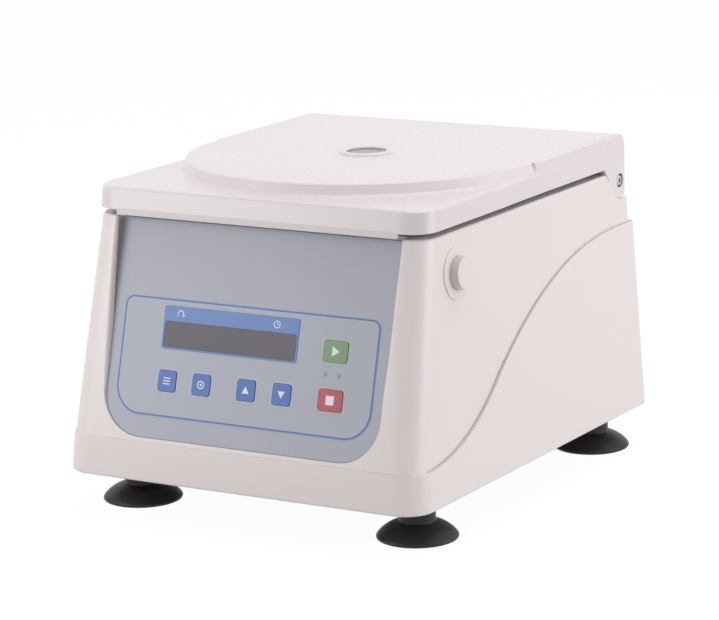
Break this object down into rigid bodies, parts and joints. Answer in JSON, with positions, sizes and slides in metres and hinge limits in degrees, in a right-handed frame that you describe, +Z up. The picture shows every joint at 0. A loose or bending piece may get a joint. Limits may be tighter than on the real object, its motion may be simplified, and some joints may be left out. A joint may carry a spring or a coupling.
{
  "type": "microplate centrifuge",
  "caption": "Benchtop plate centrifuge with a hinged lid, round viewing port, keypad front, swing-out plate carriers on a drive shaft and rubber suction feet.",
  "frame": {"origin": "on the bench, under the middle of the case", "axes": "+Z up, +X to the right seen from the front, the front panel faces -Y"},
  "size_m": [0.34, 0.41, 0.2804],
  "materials": {
    "case_plastic": "fine moulded texture",
    "lid_plastic": "fine moulded texture",
    "liner_plastic": "plain",
    "panel_plastic": "satin film",
    "overlay_film": "satin film",
    "blue_film": "satin film",
    "green_film": "satin film",
    "red_film": "satin film",
    "display_glass": "gloss",
    "clear_window": "clear acrylic",
    "lamp_red": "gloss lens",
    "board_green": "solder mask",
    "black_rubber": "satin",
    "zinc_steel": "zinc plated",
    "bright_steel": "ground",
    "bare_aluminium": "satin",
    "button_plastic": "satin",
    "black_plastic": "satin",
    "motor_paint": "satin black",
    "copper_winding": "enamelled"
  },
  "bodies": {
    "case": {"lower_housing": "case_plastic", "upper_housing": "case_plastic", "base_plate": "zinc_steel", "foot_front_left": "black_rubber", "foot_front_right": "black_rubber", "foot_rear_left": "black_rubber", "foot_rear_right": "black_rubber", "foot_bolts": "zinc_steel", "front_panel": "panel_plastic", "keypad_overlay": "overlay_film", "display_frame": "blue_film", "display_window": "display_glass", "display_module": "board_green", "keypad_board": "board_green", "status_lamps": "lamp_red", "control_board": "board_green", "hinge_bracket_left": "motor_paint", "hinge_bracket_right": "motor_paint", "hinge_screws": "zinc_steel", "lock_bracket": "zinc_steel", "lock_solenoid": "motor_paint", "button_bezel": "button_plastic", "button_switch": "black_plastic", "button_bracket": "zinc_steel", "chamber_bowl": "bare_aluminium", "bowl_screws": "zinc_steel", "shaft_seal": "black_rubber", "motor_mounts": "black_rubber", "motor_plate": "zinc_steel", "motor_case": "motor_paint", "motor_stator": "copper_winding", "motor_bearings": "bright_steel", "power_supply": "motor_paint", "drive_board": "board_green", "rear_plate": "motor_paint", "mains_inlet": "black_plastic", "mains_switch": "black_plastic"},
    "lid": {"lid_shell": "lid_plastic", "lid_liner": "liner_plastic", "lid_gasket": "black_rubber", "port_ring": "lid_plastic", "port_lens": "clear_window", "lid_screws": "zinc_steel", "lid_striker": "zinc_steel"},
    "rotor": {"drive_shaft": "bright_steel", "motor_magnets": "motor_paint", "rotor_yoke": "bare_aluminium", "rotor_nut": "black_plastic", "carrier_pins": "bright_steel"},
    "carrier_left": {"plate_carrier_left": "bare_aluminium"},
    "carrier_right": {"plate_carrier_right": "bare_aluminium"},
    "button": {"lid_button": "button_plastic"},
    "bolt": {"lock_bolt": "bright_steel"},
    "rocker": {"mains_rocker": "black_plastic"},
    "key_1_cap": {"key_1": "blue_film"},
    "key_2_cap": {"key_2": "blue_film"},
    "key_up_cap": {"key_up": "blue_film"},
    "key_down_cap": {"key_down": "blue_film"},
    "key_start_cap": {"key_start": "green_film"},
    "key_stop_cap": {"key_stop": "red_film"}
  },
  "joints": [
    {"name": "lid_hinge", "type": "hinge", "parent": "case", "child": "lid", "pos_m": [0, 0.184, 0.2372], "axis": [-1, 0, 0], "range_deg": [0, 80]},
    {"name": "rotor_spin", "type": "hinge", "parent": "case", "child": "rotor", "pos_m": [0, 0.017, 0.15], "axis": [0, 0, 1], "continuous": true},
    {"name": "carrier_left_swing", "type": "hinge", "parent": "rotor", "child": "carrier_left", "pos_m": [-0.063, 0.017, 0.188], "axis": [0, 1, 0], "range_deg": [0, 90]},
    {"name": "carrier_right_swing", "type": "hinge", "parent": "rotor", "child": "carrier_right", "pos_m": [0.063, 0.017, 0.188], "axis": [0, -1, 0], "range_deg": [0, 90]},
    {"name": "lid_button_push", "type": "slide", "parent": "case", "child": "button", "axis": [-0.9986, 0, -0.0535], "range_m": [0, 0.005], "stiffness_N_per_m": 400, "springref_m": -0.003},
    {"name": "lock_bolt_slide", "type": "slide", "parent": "case", "child": "bolt", "axis": [1, 0, 0], "range_m": [0, 0.008], "stiffness_N_per_m": 150, "springref_m": -0.004},
    {"name": "mains_rocker_tilt", "type": "hinge", "parent": "case", "child": "rocker", "pos_m": [0.055, 0.19781, 0.07683], "axis": [1, 0, 0], "range_deg": [0, 16]},
    {"name": "key_1_press", "type": "slide", "parent": "case", "child": "key_1_cap", "axis": [0, 0.9641, -0.2656], "range_m": [0, 0.0006], "stiffness_N_per_m": 800, "springref_m": -0.0005},
    {"name": "key_2_press", "type": "slide", "parent": "case", "child": "key_2_cap", "axis": [0, 0.9641, -0.2656], "range_m": [0, 0.0006], "stiffness_N_per_m": 800, "springref_m": -0.0005},
    {"name": "key_up_press", "type": "slide", "parent": "case", "child": "key_up_cap", "axis": [0, 0.9641, -0.2656], "range_m": [0, 0.0006], "stiffness_N_per_m": 800, "springref_m": -0.0005},
    {"name": "key_down_press", "type": "slide", "parent": "case", "child": "key_down_cap", "axis": [0, 0.9641, -0.2656], "range_m": [0, 0.0006], "stiffness_N_per_m": 800, "springref_m": -0.0005},
    {"name": "key_start_press", "type": "slide", "parent": "case", "child": "key_start_cap", "axis": [0, 0.9641, -0.2656], "range_m": [0, 0.0006], "stiffness_N_per_m": 800, "springref_m": -0.0005},
    {"name": "key_stop_press", "type": "slide", "parent": "case", "child": "key_stop_cap", "axis": [0, 0.9641, -0.2656], "range_m": [0, 0.0006], "stiffness_N_per_m": 800, "springref_m": -0.0005}
  ]
}
